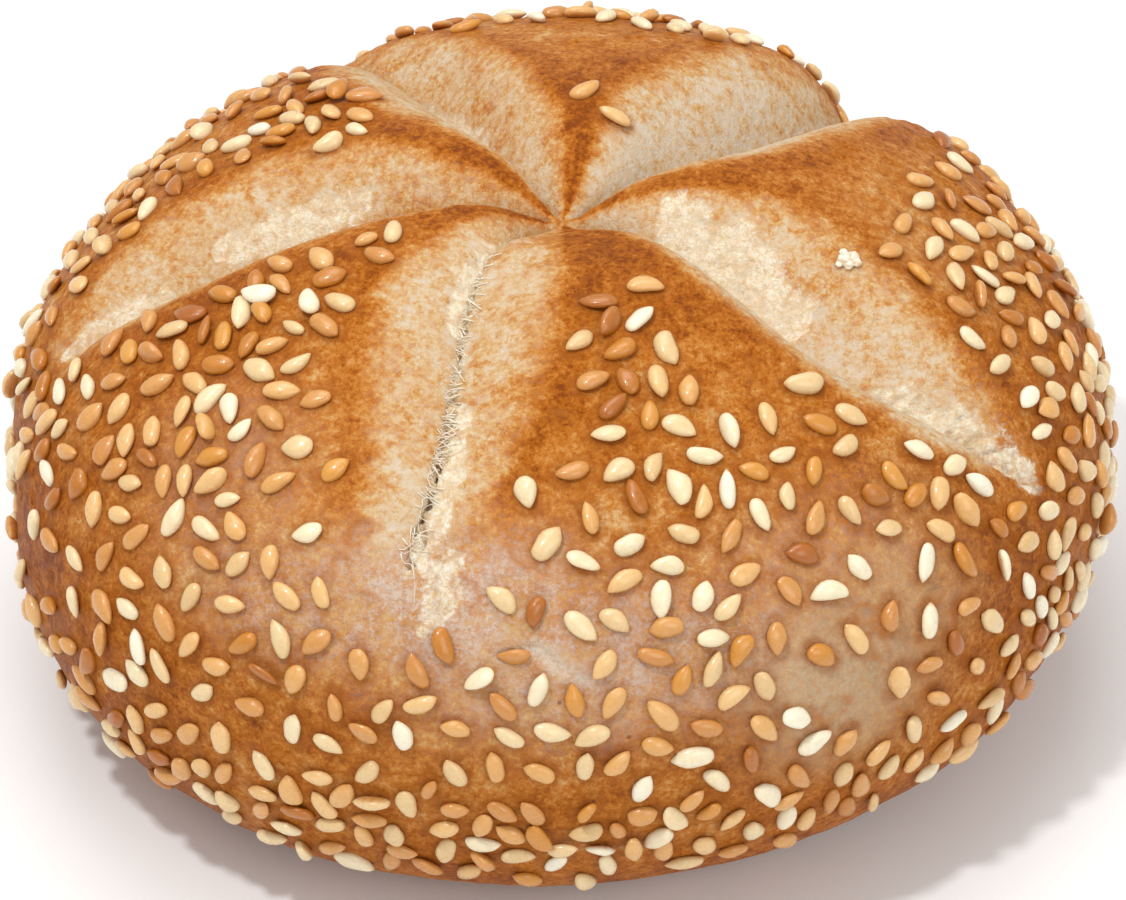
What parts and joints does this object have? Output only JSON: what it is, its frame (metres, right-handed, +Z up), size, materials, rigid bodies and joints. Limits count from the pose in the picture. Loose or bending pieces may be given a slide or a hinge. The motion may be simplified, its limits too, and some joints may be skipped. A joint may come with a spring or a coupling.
{
  "type": "bread roll",
  "caption": "Round kaiser roll with a curved star of cuts pressed into its domed top and sesame seeds on its crust; it rests on a flat foot.",
  "frame": {"origin": "middle of the flat foot, under the middle of the roll's box", "axes": "+Z up from the foot to the crown, -Y towards the front, where the two widest-spaced front cuts open; +X to the right of the front"},
  "size_m": [0.1032, 0.1006, 0.0523],
  "materials": {
    "bread_crust": "baked golden-brown crust, satin, with paler matt walls in the cuts",
    "sesame_cream": "hulled cream-white sesame, satin",
    "sesame_golden": "sesame baked to gold, satin",
    "sesame_toasted": "sesame toasted to light brown, satin"
  },
  "bodies": {
    "root": {"roll": "bread_crust", "sesame_seed_01": "sesame_toasted", "sesame_seed_02": "sesame_toasted", "sesame_seed_03": "sesame_golden", "sesame_seed_04": "sesame_cream", "sesame_seed_05": "sesame_cream", "sesame_seed_06": "sesame_cream", "sesame_seed_07": "sesame_toasted", "sesame_seed_08": "sesame_toasted", "sesame_seed_09": "sesame_cream", "sesame_seed_10": "sesame_cream", "sesame_seed_11": "sesame_cream", "sesame_seed_12": "sesame_golden", "sesame_seed_13": "sesame_toasted", "sesame_seed_14": "sesame_cream", "sesame_seed_15": "sesame_cream", "sesame_seed_16": "sesame_cream", "sesame_seed_17": "sesame_golden", "sesame_seed_18": "sesame_cream", "sesame_seed_19": "sesame_cream", "sesame_seed_20": "sesame_golden", "sesame_seed_21": "sesame_cream", "sesame_seed_22": "sesame_golden", "sesame_seed_23": "sesame_cream", "sesame_seed_24": "sesame_cream", "sesame_seed_25": "sesame_golden", "sesame_seed_26": "sesame_cream", "sesame_seed_27": "sesame_cream", "sesame_seed_28": "sesame_toasted", "sesame_seed_29": "sesame_cream", "sesame_seed_30": "sesame_golden", "sesame_seed_31": "sesame_golden", "sesame_seed_32": "sesame_golden", "sesame_seed_33": "sesame_cream", "sesame_seed_34": "sesame_golden", "sesame_seed_35": "sesame_toasted", "sesame_seed_36": "sesame_golden", "sesame_seed_37": "sesame_cream", "sesame_seed_38": "sesame_toasted", "sesame_seed_39": "sesame_toasted", "sesame_seed_40": "sesame_cream", "sesame_seed_41": "sesame_golden", "sesame_seed_42": "sesame_cream", "sesame_seed_43": "sesame_cream", "sesame_seed_44": "sesame_golden", "sesame_seed_45": "sesame_golden", "sesame_seed_46": "sesame_cream", "sesame_seed_47": "sesame_cream", "sesame_seed_48": "sesame_golden", "sesame_seed_49": "sesame_cream", "sesame_seed_50": "sesame_cream", "sesame_seed_51": "sesame_cream", "sesame_seed_52": "sesame_cream", "sesame_seed_53": "sesame_cream", "sesame_seed_54": "sesame_golden", "sesame_seed_55": "sesame_golden", "sesame_seed_56": "sesame_cream", "sesame_seed_57": "sesame_cream", "sesame_seed_58": "sesame_cream", "sesame_seed_59": "sesame_cream"}
  },
  "joints": []
}
